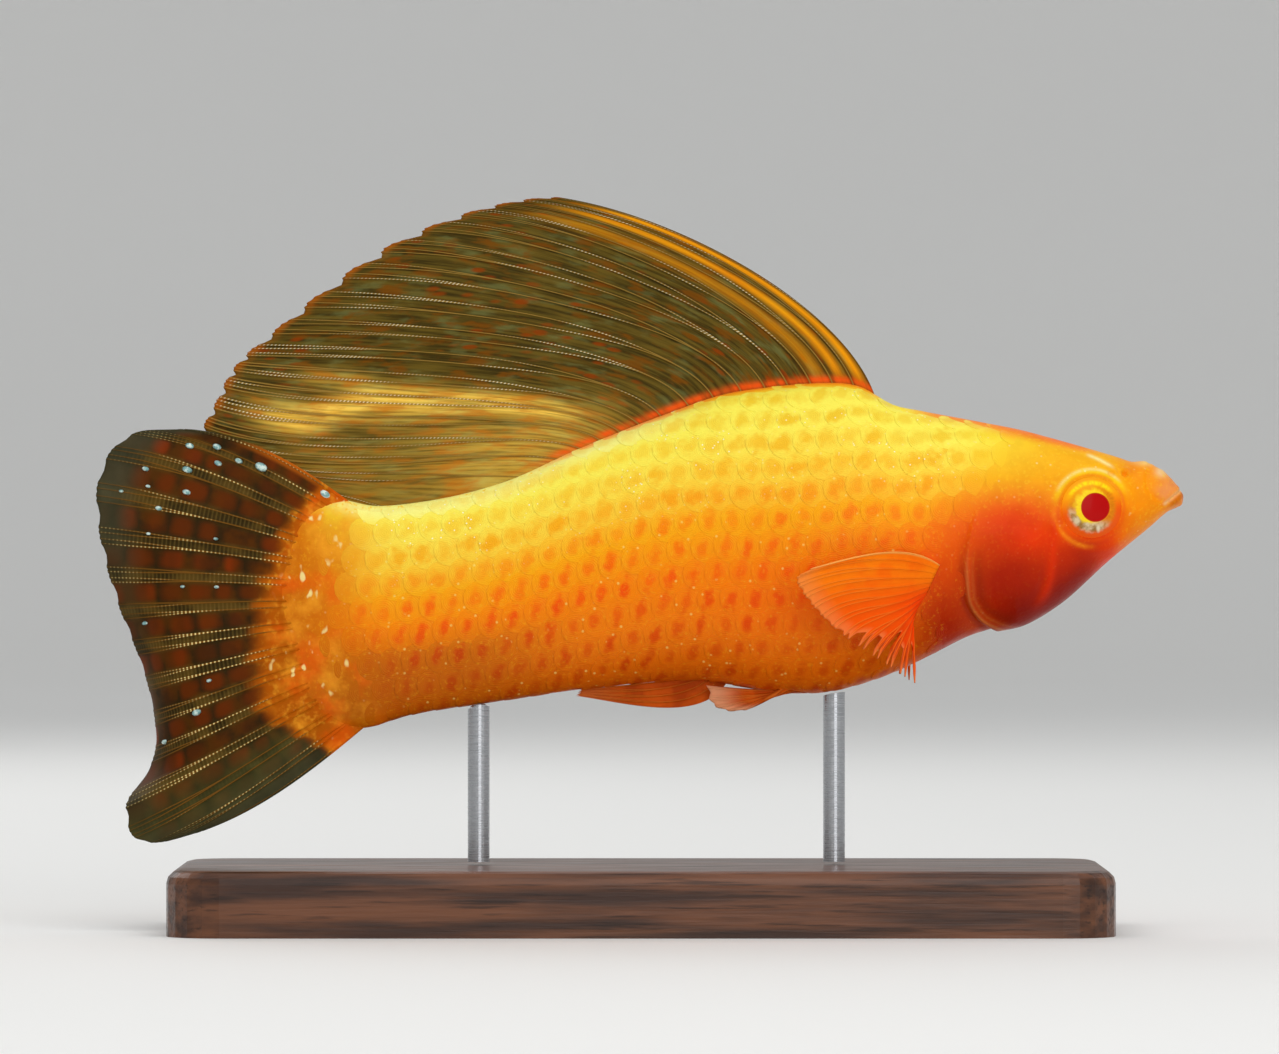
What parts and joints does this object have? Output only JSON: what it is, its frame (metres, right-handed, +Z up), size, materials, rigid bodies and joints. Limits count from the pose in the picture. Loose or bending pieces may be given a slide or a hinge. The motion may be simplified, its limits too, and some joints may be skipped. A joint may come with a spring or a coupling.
{
  "type": "sailfin molly",
  "caption": "Orange male sailfin molly swimming with its tall sail-like back fin raised, life size, on a flat base with two short rods",
  "frame": {"origin": "middle of the bottom of the whole part, on the surface it stands on", "axes": "+X the way the fish faces, +Y to the fish's left, +Z up"},
  "size_m": [0.1, 0.038, 0.0675],
  "materials": {
    "orange_skin": "wet scaled skin, yellow on the back, orange on the flank and deep red orange on the throat",
    "gill_cover_skin": "smooth wet skin, deep red orange with a pale golden rear rim",
    "eye": "clear wet eye with a red pupil in a gold ring",
    "olive_fin": "thin olive and gold membrane between beaded rays, spotted with orange and pale blue",
    "orange_fin": "thin translucent orange membrane between pale rays",
    "stand_wood": "dark polished wood with a fine grain",
    "stand_steel": "plain brushed steel rod"
  },
  "bodies": {
    "root": {"head": "orange_skin", "lower_jaw": "orange_skin", "gill_cover_right": "gill_cover_skin", "gill_cover_left": "gill_cover_skin", "eye_right": "eye", "eye_left": "eye", "trunk": "orange_skin", "tail_stem": "orange_skin", "dorsal_fin": "olive_fin", "caudal_fin": "olive_fin", "pectoral_fin_right": "orange_fin", "pectoral_fin_left": "orange_fin", "pelvic_fin_right": "orange_fin", "pelvic_fin_left": "orange_fin", "gonopodium": "orange_fin", "stand_base": "stand_wood", "stand_rod_front": "stand_steel", "stand_rod_rear": "stand_steel"}
  },
  "joints": []
}
